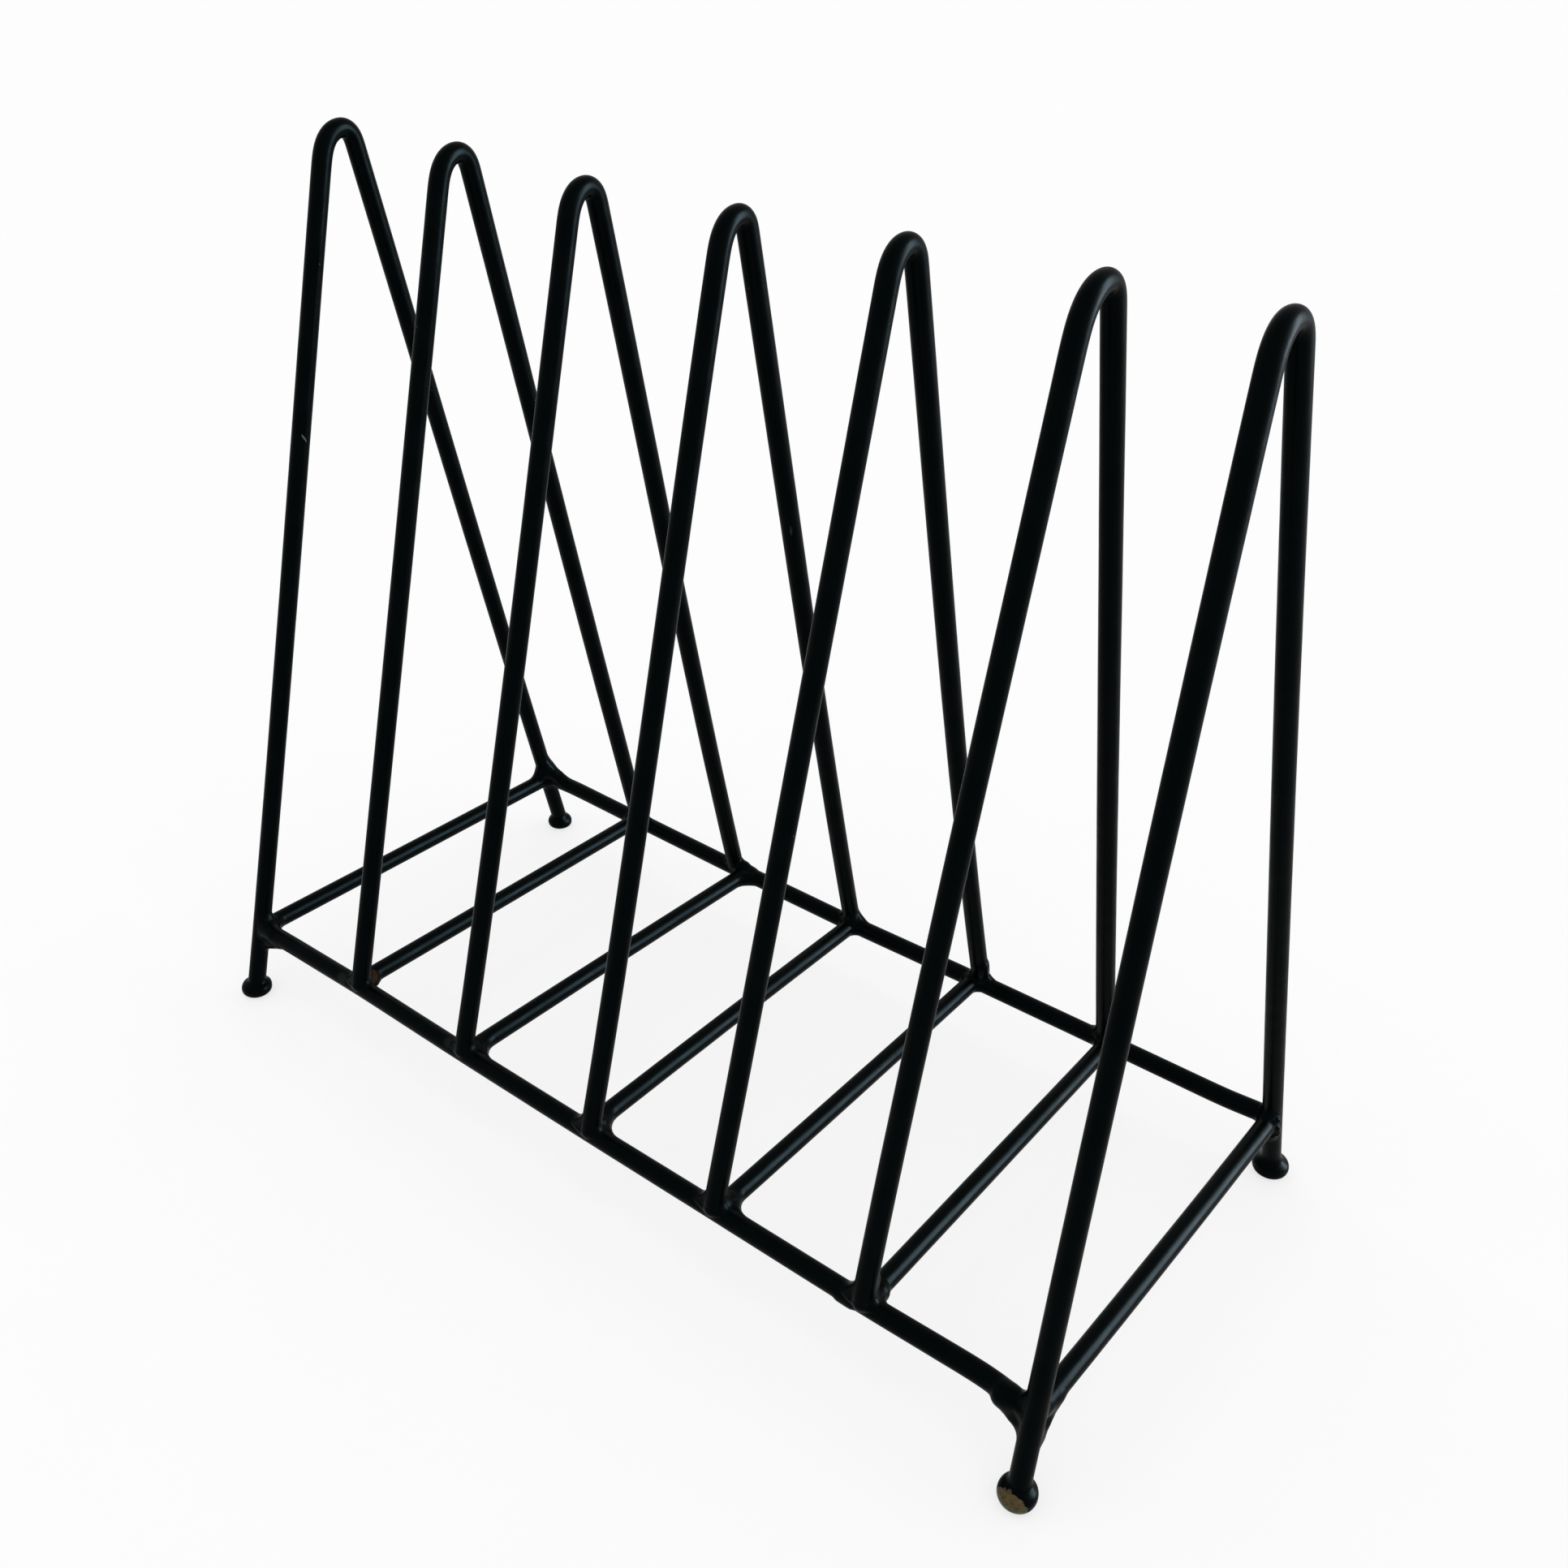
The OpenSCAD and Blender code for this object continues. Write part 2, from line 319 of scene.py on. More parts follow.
def hairpin_path(i):
    """Up the front leg, round the bend and down the back leg, and then all of it strays. The bend's angle is
    an even turn less a sine, so that it turns slowly where it leaves the legs and fastest at the crown, and
    its steps are longer on the front leg's side."""
    top, front, back = tip(i), leg_down(FRONT, i), leg_down(BACK, i)
    share = np.linspace(-1, 1, BEND_POINTS)
    turned = (math.pi - math.acos(front @ back)) * ((1 + share) / 2 + np.sin(math.pi * share) / (2 * math.pi))
    over = unit(back - (back @ front) * front)
    way = -front * np.cos(turned)[:, None] + over * np.sin(turned)[:, None]
    step = np.diff(share) * np.where(share[:-1] < 0, FRONT_BEND[i], 1)
    bend = np.concatenate([np.zeros((1, 3)), np.cumsum((way[:-1] + way[1:]) / 2 * step[:, None], axis=0)])
    # The bend starts and ends on the lines of the two legs, and is of the size that puts its crown at the
    # right height.
    bend += front * np.linalg.lstsq(np.stack([-front, back], 1), bend[-1], rcond=None)[0][0]
    bend = top + bend * (TOP_Z[i] - HAIRPIN_R - top[2]) / bend[:, 2].max()
    lows = [top + leg * (foot_z(side, i) - top[2]) / leg[2] for side, leg in ((FRONT, front), (BACK, back))]
    path = np.concatenate([run(lows[0], bend[0]), bend[:-1], run(bend[-1], lows[1]), lows[1][None]])
    share = (top[2] - path[:, 2]) / (top[2] - RAIL_Z)
    to_back = eased(path[:, 1] - CENTRING[1], -BEND_R[i], BEND_R[i])
    path[:, 0] += leg_stray(FRONT, i, share) * (1 - to_back) + leg_stray(BACK, i, share) * to_back
    return path


# ---------------------------------------------------------------- distance fields

# A joint's skin is looked for from this far off its centre, in this many steps to the mm, and the step that
# holds it is then halved this many times.
FIRST_STEP = 1.5
STEPS_PER_MM = 2.4
HALVINGS = 10


def from_axis(points, start, end):
    """The way to each point from the nearest point of a straight axis."""
    axis = end - start
    share = np.clip(((points - start) @ axis) / (axis @ axis), 0, 1)
    return points - start - share[..., None] * axis


def rod_gap(points, start, end, radius):
    """Distance to a round rod with round ends: from the nearest point of its axis, less its radius."""
    return np.linalg.norm(from_axis(points, start, end), axis=-1) - radius


def from_line(points, line):
    """The way to each point from the nearest point of a line of points, and its length."""
    ways = np.stack([from_axis(points, a, b) for a, b in zip(line[:-1], line[1:])])
    lengths = np.linalg.norm(ways, axis=-1)
    nearest = lengths.argmin(0)[None]
    return np.take_along_axis(ways, nearest[..., None], 0)[0], np.take_along_axis(lengths, nearest, 0)[0]


def button_gap(points, centre, radius, half_height, rim):
    """Distance to a level flat button with a round rim: to the flat one that is smaller by the rim's radius
    all round, less that radius."""
    across = np.linalg.norm((points - centre)[..., :2], axis=-1) - (radius - rim)
    upright = np.abs((points - centre)[..., 2]) - (half_height - rim)
    outside = np.linalg.norm(np.stack([np.maximum(across, 0), np.maximum(upright, 0)], -1), axis=-1)
    return outside + np.minimum(np.maximum(across, upright), 0) - rim


def filleted(gaps, radius):
    """Union of shapes with a round fillet: the nearest gap, or the radius if that is more, less the root of
    the sum of squares of how far each gap is inside the radius."""
    gaps = np.stack(np.broadcast_arrays(*gaps))
    depth = np.maximum(radius - gaps, 0)
    return np.maximum(radius, gaps.min(0)) - np.sqrt((depth**2).sum(0))


def joint_skin(name, centre, gap, reach, node, finish):
    """A skin round a joint: in each direction from its centre, the distance at which gap turns positive, at
    most reach."""
    tilt = np.linspace(0, math.pi, JOINT_ROWS + 2)[1:-1, None]
    turn = np.linspace(2 * math.pi, 0, JOINT_COLUMNS, endpoint=False)[None, :]
    ways = np.stack([np.sin(tilt) * np.cos(turn), np.sin(tilt) * np.sin(turn), np.cos(tilt) + 0 * turn], -1)
    ways = np.concatenate([ways.reshape(-1, 3), [[0, 0, 1], [0, 0, -1]]])
    steps = np.linspace(FIRST_STEP, reach, round(reach * STEPS_PER_MM))
    low, high = np.full(len(ways), steps[0]), np.full(len(ways), steps[-1])
    going = np.arange(len(ways))
    for near, far in zip(steps[:-1], steps[1:]):
        out = gap(centre + ways[going] * far) > 0
        low[going], high[going[out]] = near, far
        going = going[~out]
    low[going] = high[going] = reach
    for _ in range(HALVINGS):
        middle = (low + high) / 2
        outside = gap(centre + ways * middle[:, None]) > 0
        low, high = np.where(outside, low, middle), np.where(outside, middle, high)
    points = centre + ways * ((low + high) / 2)[:, None]
    rings = points[:-2].reshape(JOINT_ROWS, JOINT_COLUMNS, 3)
    return skin(name, rings, points[-2:], points, node, finish)


# ---------------------------------------------------------------- joints

# Fillet radii. Leg to rail: left, right, and under the rail at the corners.
# Cross rod to rail: left, right. Crotch: leg to cross rod.
FILLETS = {
    (FRONT, 0): (3, 5, 2.0, 3, 6, 2),
    (FRONT, 1): (4.5, 2.5, 0.3, 2, 2, 1.5),
    (FRONT, 2): (3, 3, 0.3, 3, 9, 1.8),
    (FRONT, 3): (6, 3, 0.3, 3, 10, 4),
    (FRONT, 4): (5.5, 3, 0.3, 3, 8, 2.5),
    (FRONT, 5): (6, 3, 0.3, 3, 4, 2.5),
    (FRONT, 6): (4, 2, 2.0, 2, 2, 1.5),
    (BACK, 0): (6, 11, 2.0, 4, 3, 6),
    (BACK, 1): (3, 4, 0.3, 3, 3, 2),
    (BACK, 2): (2.5, 3, 0.3, 2, 6, 1.5),
    (BACK, 3): (3, 5.5, 0.3, 2, 2.5, 2),
    (BACK, 4): (3, 3.5, 0.3, 2, 2.5, 2),
    (BACK, 5): (4, 4, 0.3, 3, 3, 2),
    (BACK, 6): (2, 2, 2.0, 3, 2, 4),
}
# The least fillet, where two rods' sides run into each other.
LEAST_FILLET = 0.2
# Extra weld metal and paint: for each lump, its two ends and its radius, and the fillet that joins it on.
# An end is to the right of the leg, inwards from the rail's axis, and up from it.
LUMPS = {
    (FRONT, 0): [((0, 0, -7.4), (12.5, 0, -1.6), 2.7, 1.5), ((3, 0.5, 1.6), (9, 0, 0.5), 3.1, 0.8)],
    (FRONT, 1): [((-2.5, 4.5, -0.8), (-2.2, 5.8, -0.8), 3.4, 1.5)],
    (FRONT, 4): [((1.5, 3.0, 2.2), (1.8, 5.0, 1.4), 2.4, 1.5)],
    (FRONT, 5): [
        ((-0.3, 1.3, 5), (-0.4, 2.3, 9), 3.45, 0.3),
        ((1.6, 3.4, 0.6), (1.6, 6.0, 0.4), 2.8, 1.6),
        ((-8, -0.4, -0.5), (-4, -0.4, -0.5), 3.3, 0.5),
    ],
    (FRONT, LAST): [
        ((-10.5, 0, 0.3), (-8.5, 0, 0.5), 3.6, 0.8),
        ((-10.5, 0, -1.3), (-0.5, 0, -8.5), 2.9, 2.0),
        ((0.3, 9.5, -1.4), (0.3, 1, -8.5), 2.9, 2.0),
    ],
    (BACK, 2): [((3.2, 0, 2.8), (4.6, 0, 2.7), 2.5, 1.2), ((4.5, 0, 1.3), (8.5, 0, 0.5), 3.3, 1.0)],
    (BACK, 4): [((0.9, 1.6, 7.5), (1.0, 2.2, 10.0), 3.2, 1.0)],
    (BACK, LAST): [
        ((0, 4, -1.0), (1, 2.5, -5.0), 3.0, 1.0),
        ((1.5, 4.5, 2.2), (2.2, 3.2, 2.6), 1.7, 0.3),
        ((2.6, 3.6, -0.5), (2.9, 3.0, -2.8), 1.8, 0.3),
        ((1.0, 5.0, -2.6), (2.0, 4.4, -3.6), 1.7, 0.3),
    ],
}
# A joint's skin and a foot's skin end this far from their middle, inside the rods that leave them.
JOINT_REACH = 17.0
FOOT_REACH = 11.0
# A joint's field follows its rods from this far inside their skins' own ends: the rail at these distances
# from the leg, the leg at these heights over the rail and down to this depth under it at a corner, and the
# cross rod at these of its points.
DEEPER = 0.3
RAIL_NEAR = np.array([-20, -15, -10, -5, 0, 5, 10, 15, 20])
LEG_NEAR, LEG_FAR = 10, 30
CORNER_DEPTH = 26
BAR_NEAR = [0, 8, 16, 24]
TUBE = RAIL_R - TUCK
# How uneven a joint is: the share by which its fillets vary and the pitch of that, and then how far its own
# surface does and the pitch of that. Where the weld lies less than SMOOTH_UNDER over the bare rods it is
# smooth, and it has its full unevenness from ROUGH_OVER.
FILLET_WAVER, FILLET_PITCH, FILLET_SEED = 0.06, 7, 100
WELD_WAVER, WELD_PITCH, WELD_SEED = 0.05, 2.2, 300
SMOOTH_UNDER, ROUGH_OVER = 0.1, 0.8
# Where a joint's fillets change, in mm: the cross rod's from its left to its right side, and from the rail's
# outer side inwards, and the leg's from under the rail upwards, at a corner and elsewhere.
BAR_TO_RIGHT, BAR_INWARDS = (-2, 2), (0, 3)
CORNER_RISE, LEG_RISE = (-3, 1), (0, 3)
# The leg's fillet changes as the way out of the leg, softened within this many mm of its axis, points to the
# right and inwards. It fades by the cosine between the ways out of the leg and of the tube.
SOFTENED = 0.5
LEG_TO_RIGHT, LEG_TO_CROTCH = (-0.5, 0.5), (0.5, 0.9)
ALIKE = (0.35, 0.9)


def joint_gap(side, i):
    """The field of one joint. The rail and the cross rod make one tube over a plan with filleted corners, and
    the leg stands on it. The leg's fillet changes round the leg, and fades where its side runs along the
    tube's. Lumps are joined on with fillets of their own."""
    x = leg_x(side, i)
    rail_ends = leg_x(side, 0) + START, leg_x(side, LAST) - START
    rail_near = rail_point(side, np.unique(np.clip(x + RAIL_NEAR, *rail_ends)))
    leg_foot = rail_point(side, x)
    foot = cross_foot(side, i)
    corner = i in (0, LAST)
    low = leg_foot[2] - CORNER_DEPTH if corner else leg_foot[2] + START - DEEPER
    heights = low, leg_foot[2] + LEG_NEAR, leg_foot[2] + LEG_FAR
    leg_near = np.stack([leg_at(side, i, z) for z in heights])
    lean = (leg_near[1] - leg_at(side, i, leg_foot[2])) / LEG_NEAR
    bar_near = cross_line(i, START - DEEPER)[:: -SIDE_SIGN[side]][BAR_NEAR]
    left, right, under, bar_left, bar_right, crotch = FILLETS[side, i]
    inward = -SIDE_SIGN[side]
    lump_axes = np.array([1, inward, 1])
    seed = 10 * side + i

    def gap(points):
        uneven = 1 + FILLET_WAVER * waver(points, FILLET_PITCH, FILLET_SEED + seed)
        from_rail, rail_far = from_line(points, rail_near)
        from_bar, bar_far = from_line(points, bar_near)
        from_leg, leg_far = from_line(points, leg_near)
        # The plan's fillet changes from the cross rod's left to its right. There is none outside the rail.
        off_rail, off_bar = (np.linalg.norm(way[..., :2], axis=-1) for way in (from_rail, from_bar))
        at_bar = bar_left + (bar_right - bar_left) * eased(points[..., 0] - foot[0], *BAR_TO_RIGHT)
        at_bar = at_bar * eased(inward * (points[..., 1] - foot[1]), *BAR_INWARDS)
        off = filleted([off_rail - TUBE, off_bar - TUBE], at_bar * uneven) + TUBE
        # The tube is as far up as its two rods, each counted by how near it is.
        rail_share = ((off_bar + TUCK) / (off_rail + off_bar + 2 * TUCK))[..., None]
        height = (from_rail * rail_share + from_bar * (1 - rail_share))[..., 2]
        tubes = np.hypot(np.maximum(off, 0), height) - TUBE
        upright = leg_far - (HAIRPIN_R - TUCK)
        rail_side, bar_side = from_rail / rail_far[..., None], from_bar / bar_far[..., None]
        tube_side = rail_side * rail_share + bar_side * (1 - rail_share)
        tube_side /= np.linalg.norm(tube_side, axis=-1, keepdims=True)
        alike = (tube_side * from_leg).sum(-1) / leg_far
        # The leg's fillet goes by the way out of the leg: left, right, inwards, and under the rail.
        rise = points[..., 2] - leg_foot[2]
        way = points[..., :2] - leg_foot[:2] - rise[..., None] * lean[:2]
        way = way / (np.linalg.norm(way, axis=-1, keepdims=True) + SOFTENED)
        at_leg = left + (right - left) * eased(way[..., 0], *LEG_TO_RIGHT)
        at_leg = at_leg + (crotch - at_leg) * eased(inward * way[..., 1], *LEG_TO_CROTCH)
        at_leg = under + (at_leg - under) * eased(rise, *(CORNER_RISE if corner else LEG_RISE))
        at_leg = LEAST_FILLET + at_leg * uneven * (1 - eased(alike, *ALIKE))
        body = filleted([tubes, upright], at_leg)
        for start, end, radius, fillet in LUMPS.get((side, i), ()):
            lump = rod_gap(points, leg_foot + lump_axes * start, leg_foot + lump_axes * end, radius)
            body = filleted([body, lump], fillet)
        bare = np.minimum(np.minimum(rail_far, bar_far) - TUBE, upright)
        bumps = WELD_WAVER * waver(points, WELD_PITCH, WELD_SEED + seed)
        return body + bumps * eased(bare - body, SMOOTH_UNDER, ROUGH_OVER)

    return (leg_foot + foot) / 2, gap


# ---------------------------------------------------------------- feet

# Each foot: its radius, height and rim radius, and the fillet at its neck.
FEET = {
    (FRONT, 0): ("front_left", 6.1, 5.2, 2.4, 1.5),
    (BACK, 0): ("back_left", 5.8, 4.6, 2.1, 2.5),
    (FRONT, LAST): ("front_right", 6.1, 7.0, 3.3, 1.0),
    (BACK, LAST): ("back_right", 6.5, 4.8, 2.2, 4.0),
}
# A foot's field follows the leg from a little over the rod's own end up to this height.
ROD_IN_FOOT = FOOT_MIDDLE + 0.8
ROD_OVER_FOOT = 25
# How uneven a button is, and the pitch of that. It is smooth up to the first of these heights over the floor,
# and has its full unevenness from the second.
BUTTON_WAVER, BUTTON_PITCH, BUTTON_SEED = 0.08, 6, 200
BUTTON_SMOOTH = (0.5, 2)
# The neck's fillet grows between these shares of the button's height.
NECK_FROM, NECK_TO = 0.4, 0.8


def foot_gap(side, i, centre, radius, height, rim, neck):
    """The field of one foot: a button and the leg's rod with a fillet between them, cut off by the floor."""
    rod_low, rod_high = leg_at(side, i, ROD_IN_FOOT), leg_at(side, i, ROD_OVER_FOOT)
    seed = BUTTON_SEED + 10 * side + i

    def gap(points):
        z = points[..., 2]
        rod = rod_gap(points, rod_low, rod_high, HAIRPIN_R - TUCK)
        button = button_gap(points, centre, radius, height / 2, rim)
        uneven = BUTTON_WAVER * (1 + waver(points, BUTTON_PITCH, seed)) * eased(z, *BUTTON_SMOOTH)
        at_neck = neck * eased(z, NECK_FROM * height, NECK_TO * height)
        return np.maximum(filleted([rod, button + uneven], at_neck + TUCK), -z)

    return gap


# ---------------------------------------------------------------- materials

# The paint's gloss and its cold tint, and a bare metal's gloss.
ENAMEL_GLOSS = 0.026
ENAMEL_TINT = (0.6, 0.93, 1.0, 1.0)
METAL_GLOSS = 0.5
# A mark ends at this share of its half size. Noise from 0 to 1 tears that edge by this share more, or by this
# many mm if that is less.
MARK_EDGE = 0.95
MOST_TORN = 0.9
TORN_MM = 2.5
# How deep the paint is gone inside a mark, in mm.
MARK_DEPTH = 0.12

# A mark in the paint is an oval with a ragged edge: its middle and its half sizes in mm, its turn in degrees,
# its two mottled colours, how much of the paint it covers, how softly it fades out, its roughness, and how
# much of a metal it is.
Mark = namedtuple("Mark", "middle halves turn colours cover fade rough metal", defaults=(0,))


def hex_colour(text):
    """Linear RGBA of an sRGB hex colour."""
    parts = [int(text[k : k + 2], 16) / 255 for k in (1, 3, 5)]
    return tuple(c / 12.92 if c <= 0.04045 else ((c + 0.055) / 1.055) ** 2.4 for c in parts) + (1.0,)


def add(tree, kind, links=None, take=None, **settings):
    """Adds a node with its settings, and links or sets its sockets by name or number. Gives back the output
    that is named by take, or else the first one in use."""
    node = tree.nodes.new(kind)
    for key, value in settings.items():
        setattr(node, key, value)
    for key, value in (links or {}).items():
        named = [socket for socket in node.inputs if socket.enabled and socket.name == key]
        socket = named[0] if named else node.inputs[key]
        if isinstance(value, bpy.types.NodeSocket):
            tree.links.new(value, socket)
        else:
            socket.default_value = value
    outputs = [socket for socket in node.outputs if socket.enabled and take in (None, socket.name)]
    return outputs[0] if outputs else None


def new_tree(name):
    """An empty material and its node tree."""
    material = bpy.data.materials.new(name)
    material.use_nodes = True
    material.node_tree.nodes.clear()
    return material, material.node_tree


def enamel(name, marks):
    """Thick black alkyd enamel laid on with a brush: satin gloss with a cold tint, long shallow strokes along
    the rods, slow sags of the paint and a few specks of dust that dried in, and then its marks."""
    material, tree = new_tree(name)
    grain = add(tree, "ShaderNodeAttribute", attribute_name="grain_mm", take="Vector")
    # Brush hairs leave strokes about 1 mm wide and 20 mm long.
    along = add(tree, "ShaderNodeMapping", {"Vector": grain, "Scale": (1, 1, 0.05)})
    strokes = add(tree, "ShaderNodeTexNoise", {"Vector": along, "Scale": 1.0, "Detail": 2.0})
    # The film sags over 8 mm, and its skin has an orange peel of 1.5 mm.
    sags = add(tree, "ShaderNodeTexNoise", {"Vector": grain, "Scale": 0.12, "Detail": 1.0})
    peel = add(tree, "ShaderNodeTexNoise", {"Vector": grain, "Scale": 0.7, "Detail": 1.0})
    # Dust is 0.05 mm. It is drawn as specks of half a millimetre, the least that shows, in one of 200 cells
    # of 3.5 mm.
    cells = add(tree, "ShaderNodeTexVoronoi", {"Vector": grain, "Scale": 0.28}, take="Distance")
    near = add(
        tree,
        "ShaderNodeMapRange",
        {"Value": cells, "From Min": 0.05, "From Max": 0.09, "To Min": 1, "To Max": 0},
    )
    lot = add(tree, "ShaderNodeSeparateColor", {"Color": cells.node.outputs["Color"]})
    rare = add(tree, "ShaderNodeMapRange", {"Value": lot, "From Min": 0.993, "From Max": 0.997})
    dust = add(tree, "ShaderNodeMath", {0: near, 1: rare}, operation="MULTIPLY")
    sagging = add(tree, "ShaderNodeMapRange", {"Value": sags, "From Min": 0.35, "From Max": 0.65})
    colour = add(
        tree,
        "ShaderNodeMix",
        {"Factor": sagging, "A": hex_colour("#010202"), "B": hex_colour("#020303")},
        data_type="RGBA",
    )
    seen_dust = add(tree, "ShaderNodeMath", {0: dust, 1: 0.4}, operation="MULTIPLY")
    colour = add(
        tree,
        "ShaderNodeMix",
        {"Factor": seen_dust, "A": colour, "B": hex_colour("#6f7779")},
        data_type="RGBA",
    )
    # The roughness is 0.28 to 0.34 over the sags, and up to 0.06 more on the strokes and 0.3 on dust.
    rough = add(
        tree,
        "ShaderNodeMapRange",
        {"Value": sags, "From Min": 0.3, "From Max": 0.7, "To Min": 0.28, "To Max": 0.34},
    )
    for part, more in ((strokes, 0.06), (dust, 0.3)):
        rough = add(tree, "ShaderNodeMath", {0: part, 1: more, 2: rough}, operation="MULTIPLY_ADD")
    # Heights in mm: sags 0.2, strokes 0.015, orange peel 0.02 and dust 0.04.
    height = add(tree, "ShaderNodeMath", {0: sags, 1: 0.2}, operation="MULTIPLY")
    for part, size in ((strokes, 0.015), (peel, 0.02), (dust, 0.04)):
        height = add(tree, "ShaderNodeMath", {0: part, 1: size, 2: height}, operation="MULTIPLY_ADD")
    metal = 0.0
    gloss = ENAMEL_GLOSS
    # The marks lie at places on the rack. Their edges are torn over 1.1 mm, and their colours mottled over
    # 0.7 mm.
    place = add(tree, "ShaderNodeTexCoord", take="Object")
    in_mm = add(tree, "ShaderNodeVectorMath", {0: place, "Scale": 1 / MM}, operation="SCALE")
    torn = add(tree, "ShaderNodeTexNoise", {"Vector": in_mm, "Scale": 0.9, "Detail": 3.0})
    mottle = add(tree, "ShaderNodeTexNoise", {"Vector": in_mm, "Scale": 1.4, "Detail": 2.0})
    for mark in marks:
        turn = [math.radians(angle) for angle in mark.turn]
        oval = add(
            tree,
            "ShaderNodeMapping",
            {"Vector": in_mm, "Location": mark.middle, "Rotation": turn, "Scale": mark.halves},
            vector_type="TEXTURE",
        )
        away = add(tree, "ShaderNodeVectorMath", {0: oval}, operation="LENGTH", take="Value")
        ragged = min(MOST_TORN, TORN_MM / max(mark.halves))
        limit = MARK_EDGE + ragged / 2
        edge = add(tree, "ShaderNodeMath", {0: torn, 1: ragged, 2: away}, operation="MULTIPLY_ADD")
        fading = {"From Min": limit - mark.fade, "From Max": limit + mark.fade}
        inside = add(tree, "ShaderNodeMapRange", {"Value": edge, **fading, "To Min": mark.cover, "To Max": 0})
        one, other = map(hex_colour, mark.colours)
        patch = add(tree, "ShaderNodeMix", {"Factor": mottle, "A": one, "B": other}, data_type="RGBA")
        colour = add(tree, "ShaderNodeMix", {"Factor": inside, "A": colour, "B": patch}, data_type="RGBA")
        rough = add(tree, "ShaderNodeMix", {"Factor": inside, "A": rough, "B": mark.rough})
        height = add(tree, "ShaderNodeMath", {0: inside, 1: -MARK_DEPTH, 2: height}, operation="MULTIPLY_ADD")
        if mark.metal:
            metal = add(tree, "ShaderNodeMath", {0: inside, 1: mark.metal}, operation="MULTIPLY")
            gloss = add(tree, "ShaderNodeMix", {"Factor": inside, "A": ENAMEL_GLOSS, "B": METAL_GLOSS})
    bump = add(tree, "ShaderNodeBump", {"Height": height, "Strength": 1.0, "Distance": MM})
    shader = add(
        tree,
        "ShaderNodeBsdfPrincipled",
        {
            "Base Color": colour,
            "Roughness": rough,
            "Metallic": metal,
            "Normal": bump,
            "IOR": 1.5,
            "Specular IOR Level": gloss,
            "Specular Tint": ENAMEL_TINT,
        },
    )
    add(tree, "ShaderNodeOutputMaterial", {"Surface": shader})
    return material


def pale_floor():
    """A matt pale studio floor, with a faint mottle of 40 mm."""
    material, tree = new_tree("matt_studio_floor")
    place = add(tree, "ShaderNodeTexCoord", take="Object")
    mottle = add(tree, "ShaderNodeTexNoise", {"Vector": place, "Scale": 25.0, "Detail": 2.0})
    colour = add(
        tree,
        "ShaderNodeMix",
        {"Factor": mottle, "A": hex_colour("#fbfbfb"), "B": hex_colour("#fefefe")},
        data_type="RGBA",
    )
    matt = {"Base Color": colour, "Roughness": 0.9, "Specular IOR Level": 0.0}
    shader = add(tree, "ShaderNodeBsdfPrincipled", matt)
    # To the camera, and in what mirrors it, the floor is seven parts in ten plain white, so that the rack's
    # soft shadow stays faint.
    white = add(tree, "ShaderNodeEmission", {"Color": (1, 1, 1, 1), "Strength": 1.0})
    seen = add(tree, "ShaderNodeLightPath", take="Is Camera Ray")
    light_path = seen.node
    for kind in ("Is Glossy Ray", "Is Transmission Ray"):
        seen = add(tree, "ShaderNodeMath", {0: seen, 1: light_path.outputs[kind]}, operation="MAXIMUM")
    share = add(tree, "ShaderNodeMath", {0: seen, 1: 0.7}, operation="MULTIPLY")
    both = add(tree, "ShaderNodeMixShader", {0: share, 1: shader, 2: white})
    add(tree, "ShaderNodeOutputMaterial", {"Surface": both})
    return material


GREY, DULL_GREY = ("#53585a", "#74797a"), ("#191c1d", "#25292a")
RUST, BRASS = ("#0a0502", "#4a2a08"), ("#0c0800", "#665330")
# A scratch on the first hairpin, a faint one on the fourth, and two dull smears on the front rail beside its
# joints.
UNTURNED = (0, 0, 0)
SMEAR = dict(halves=(2.4, 2.2, 2.2), turn=UNTURNED, colours=DULL_GREY, cover=0.6, fade=0.4, rough=0.5)
rod_enamel = enamel(
    "brushed_black_enamel_on_rod",
    [
        Mark((-178.4, -32.6, 226.2), (2.5, 0.4, 1.9), (25, 0, 0), GREY, cover=0.8, fade=0.08, rough=0.5),
        Mark((0.9, 28.3, 217.7), (0.35, 0.8, 2.0), UNTURNED, GREY, cover=0.12, fade=0.3, rough=0.4),
        Mark((-129.8, -81.0, 31.1), **SMEAR),
        Mark((-68.3, -80.0, 31.8), **SMEAR),
    ],
)
# Rust runs down the crotch of the second front joint.
weld_enamel = enamel(
    "brushed_black_enamel_on_weld",
    [Mark((-121.2, -72.2, 30.9), (1.3, 1.3, 3.9), (-27, -39, 0), RUST, cover=0.95, fade=0.12, rough=0.6)],
)
# The front right foot has lost its paint in one patch, down to the brass.
foot_enamel = enamel(
    "brushed_black_enamel_on_foot",
    [Mark((177.2, -96.0, 1.0), (9.6, 9.6, 9.6), UNTURNED, BRASS, cover=1, fade=0.02, rough=0.42, metal=0.75)],
)

# ---------------------------------------------------------------- pieces

UP = np.array([0, 0, 1.0])
# The seeds of the rods' paint: a hairpin's is its own number from 0.
CROSS_SEED, RAIL_SEED = 10, 20

for i in range(LAST + 1):
    across = np.cross(leg_down(FRONT, i), leg_down(BACK, i))
    path = hairpin_path(i)
    piece = rod_skin(f"hairpin_{i + 1}", path, across, HAIRPIN_R, i, f"divider_{i + 1}", rod_enamel)
    path, seed = cross_line(i, START), CROSS_SEED + i
    piece = rod_skin(f"cross_bar_{i + 1}", path, UP, CROSS_R, seed, f"cross_rod_{i + 1}", rod_enamel)

for side, name in SIDES:
    path = rail_line(side)
    piece = rod_skin(f"{name}_long_bar", path, UP, RAIL_R, RAIL_SEED + side, f"{name}_rail", rod_enamel)

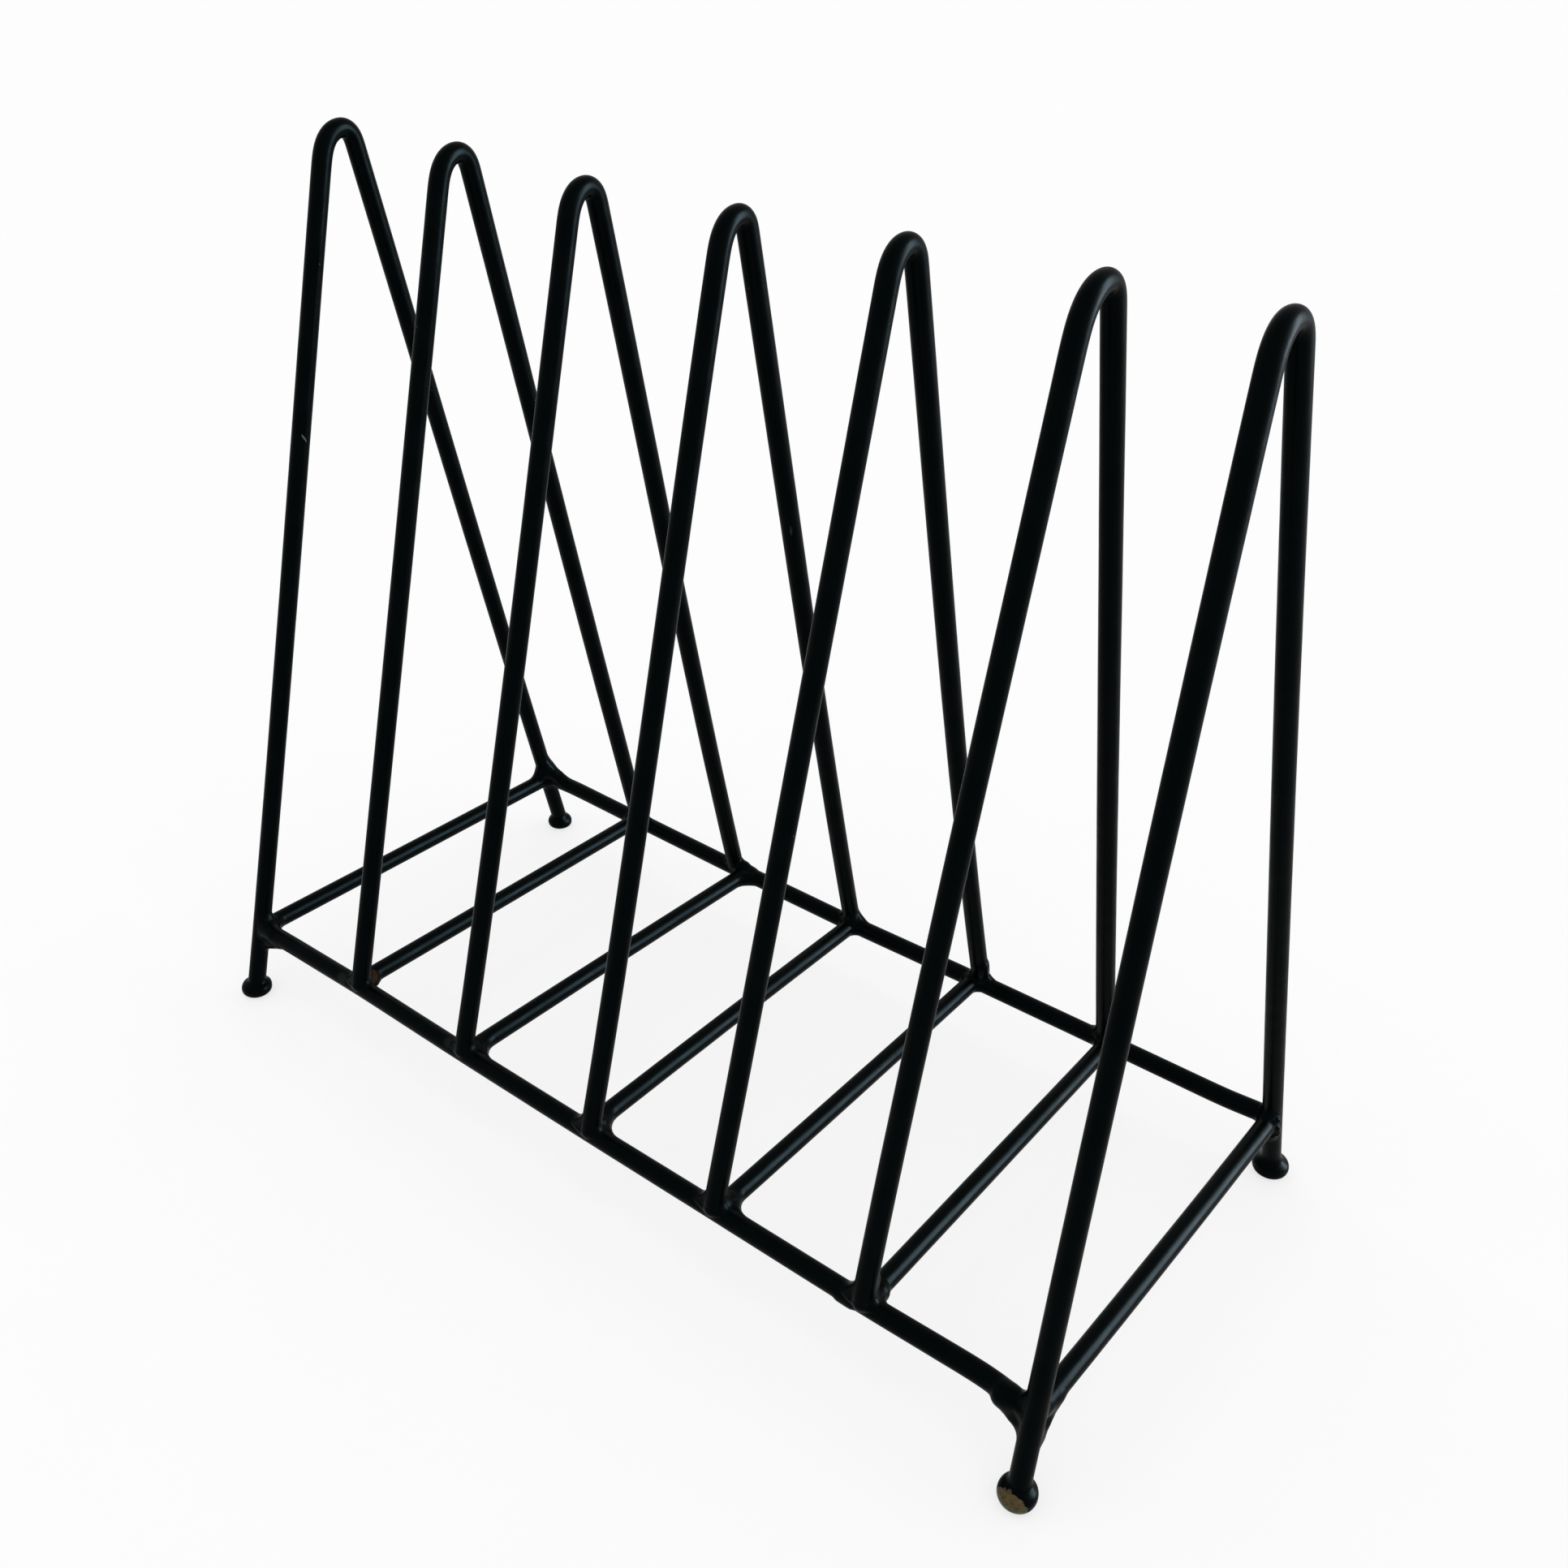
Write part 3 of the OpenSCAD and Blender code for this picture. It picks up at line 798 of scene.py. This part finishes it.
for side, name in SIDES:
    for i in range(LAST + 1):
        which = f"{name}_{i + 1}"
        piece = joint_skin(f"fillet_{which}", *joint_gap(side, i), JOINT_REACH, f"weld_{which}", weld_enamel)

for (side, i), (name, radius, height, rim, neck) in FEET.items():
    centre = leg_at(side, i, FOOT_MIDDLE)
    centre[2] = height / 2
    gap = foot_gap(side, i, centre, radius, height, rim, neck)
    piece = joint_skin(f"button_{name}", centre, gap, FOOT_REACH, f"foot_{name}", foot_enamel)

# ---------------------------------------------------------------- floor, light and camera

HALF_FLOOR = 40.0
ROOM_LIGHT = 0.97
# What the lamp faces, in metres.
RACK_MIDDLE = [0, 0, 0.1]

floor_mesh = bpy.data.meshes.new("floor")
floor_mesh.from_pydata(
    [(x * HALF_FLOOR, y * HALF_FLOOR, 0) for x, y in ((-1, -1), (1, -1), (1, 1), (-1, 1))],
    [],
    [(0, 1, 2, 3)],
)
floor = bpy.data.objects.new("floor", floor_mesh)
bpy.context.scene.collection.objects.link(floor)
floor.data.materials.append(pale_floor())

world = bpy.data.worlds.new("soft_studio")
bpy.context.scene.world = world
world.use_nodes = True
world.node_tree.nodes["Background"].inputs["Color"].default_value = (1, 1, 1, 1)
world.node_tree.nodes["Background"].inputs["Strength"].default_value = ROOM_LIGHT


def put_up(name, thing, right, up, behind, at):
    """Puts a lamp or a camera into the scene, at a place in metres and turned to the three given ways."""
    holder = bpy.data.objects.new(name, thing)
    matrix = np.eye(4)
    matrix[:3] = np.stack([right, up, behind, at], -1)
    holder.matrix_world = Matrix(matrix.tolist())
    bpy.context.scene.collection.objects.link(holder)
    return holder


def softbox(name, azimuth, elevation, distance, width, height, watts, colour):
    """A rectangular lamp that faces the middle of the rack."""
    lamp = bpy.data.lights.new(name, "AREA")
    lamp.shape = "RECTANGLE"
    lamp.size, lamp.size_y = width, height
    lamp.energy = watts
    lamp.color = colour
    a, e = math.radians(azimuth), math.radians(elevation)
    away = np.array([math.cos(a) * math.cos(e), math.sin(a) * math.cos(e), math.sin(e)])
    right = unit(np.cross([0, 0, 1], away))
    holder = put_up(name, lamp, right, np.cross(away, right), away, away * distance + RACK_MIDDLE)
    holder.visible_camera = False
    return holder


# A tall window's light. It draws the long soft streaks in the enamel, and leaves the floor to the room's even
# light.
window = softbox(
    "tall_softbox",
    azimuth=38,
    elevation=18,
    distance=2.0,
    width=0.65,
    height=1.4,
    watts=130,
    colour=(0.81, 0.91, 1.0),
)
window.visible_diffuse = False

# The photograph's camera: where it stands in mm, how it is turned in degrees, and its focal length, its
# picture's side and its picture's centre in pixels.
PICTURE = 1932
FOCAL = 1881.6
CENTRE_X, CENTRE_Y = 966.0, 847.0
CAMERA_AT = np.array([291.32, -354.56, 407.86])
YAW, PITCH_DOWN, ROLL = map(math.radians, (-37.306, 27.41, 1.335))

ahead = np.array(
    [math.sin(YAW) * math.cos(PITCH_DOWN), math.cos(YAW) * math.cos(PITCH_DOWN), -math.sin(PITCH_DOWN)]
)
level = unit(np.cross(ahead, [0, 0, 1]))
upward = np.cross(level, ahead)
right = level * math.cos(ROLL) + upward * math.sin(ROLL)
upward = upward * math.cos(ROLL) - level * math.sin(ROLL)
lens = bpy.data.cameras.new("photo_camera")
lens.sensor_width = 36
lens.lens = FOCAL / PICTURE * lens.sensor_width
lens.shift_x = (PICTURE / 2 - CENTRE_X) / PICTURE
lens.shift_y = (CENTRE_Y - PICTURE / 2) / PICTURE
camera = put_up("photo_camera", lens, right, upward, -ahead, CAMERA_AT * MM)
bpy.context.scene.camera = camera
bpy.context.scene.view_settings.view_transform = "Standard"
